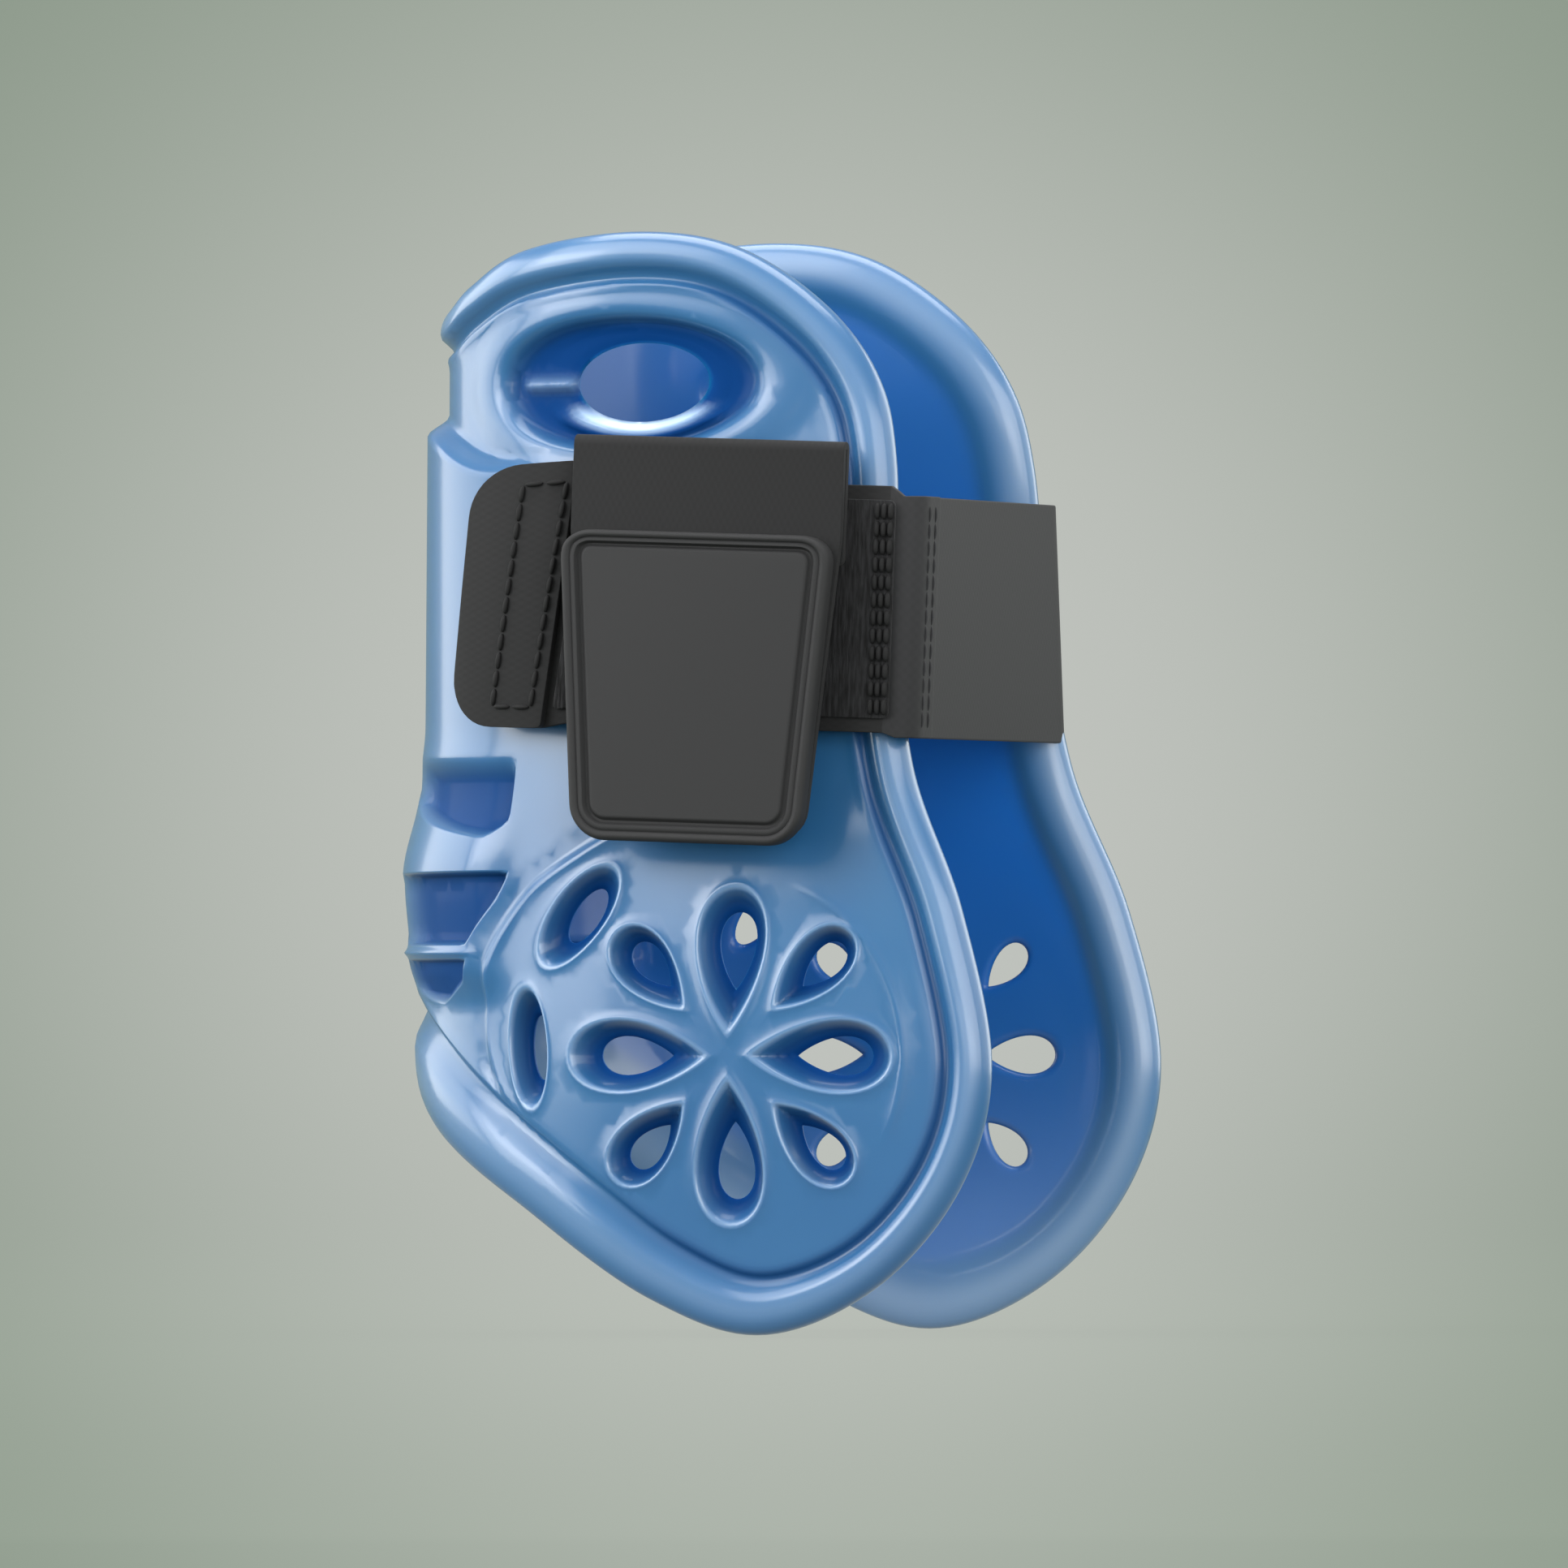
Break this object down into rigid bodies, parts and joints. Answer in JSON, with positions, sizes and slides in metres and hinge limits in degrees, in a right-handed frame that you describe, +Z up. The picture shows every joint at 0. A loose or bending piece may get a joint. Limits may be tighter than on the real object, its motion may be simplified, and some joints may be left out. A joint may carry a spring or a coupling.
{
  "type": "fetlock boot",
  "caption": "Moulded vented U-shaped shell that wraps a horse's fetlock, closed across the front by an elastic strap with hook and loop tape and a fold-down lock flap.",
  "frame": {"origin": "on the leg's axis, level with the shell's lowest rim", "axes": "+Z up the leg, +X out of the open front that the strap closes, -Y out of the outer wing that carries the badge"},
  "size_m": [0.1078, 0.1017, 0.1703],
  "materials": {
    "gel_shell": "translucent blue gel plastic, moulded, glossy",
    "webbing": "charcoal woven webbing",
    "elastic": "dark grey knitted elastic",
    "hook_tape": "black hook tape",
    "loop_tape": "black loop tape, napped",
    "thread": "black sewing thread",
    "badge_rubber": "dark grey moulded rubber, satin"
  },
  "bodies": {
    "boot_shell": {"shell": "gel_shell", "wing_loop_patch": "loop_tape", "far_backing_patch": "webbing", "elastic_far_side": "elastic", "far_anchor_stitching": "thread"},
    "strap": {"elastic_band": "elastic", "band_seam_stitching_near": "thread", "band_seam_stitching_far": "thread"},
    "strap_end": {"strap_end_webbing": "webbing", "strap_hook_tape": "hook_tape", "strap_loop_face": "loop_tape", "pull_tab_fold": "webbing", "pull_tab_stitching": "thread", "flap_hem": "webbing"},
    "flap": {"flap_webbing": "webbing", "flap_hook_pad": "hook_tape", "badge": "badge_rubber"}
  },
  "joints": [
    {"name": "strap_swing", "type": "hinge", "parent": "boot_shell", "child": "strap", "pos_m": [0.04665, 0.04194, 0.11147], "axis": [0, -0.1169, 0.9931], "range_deg": [0, 120]},
    {"name": "strap_end_peel", "type": "hinge", "parent": "strap", "child": "strap_end", "pos_m": [0.04665, -0.04284, 0.11147], "axis": [0, 0.1169, 0.9931], "range_deg": [0, 120]},
    {"name": "flap_lift", "type": "hinge", "parent": "strap_end", "child": "flap", "pos_m": [0.01615, -0.04299, 0.13864], "axis": [-0.9994, 0.0041, 0.0349], "range_deg": [0, 150]}
  ]
}
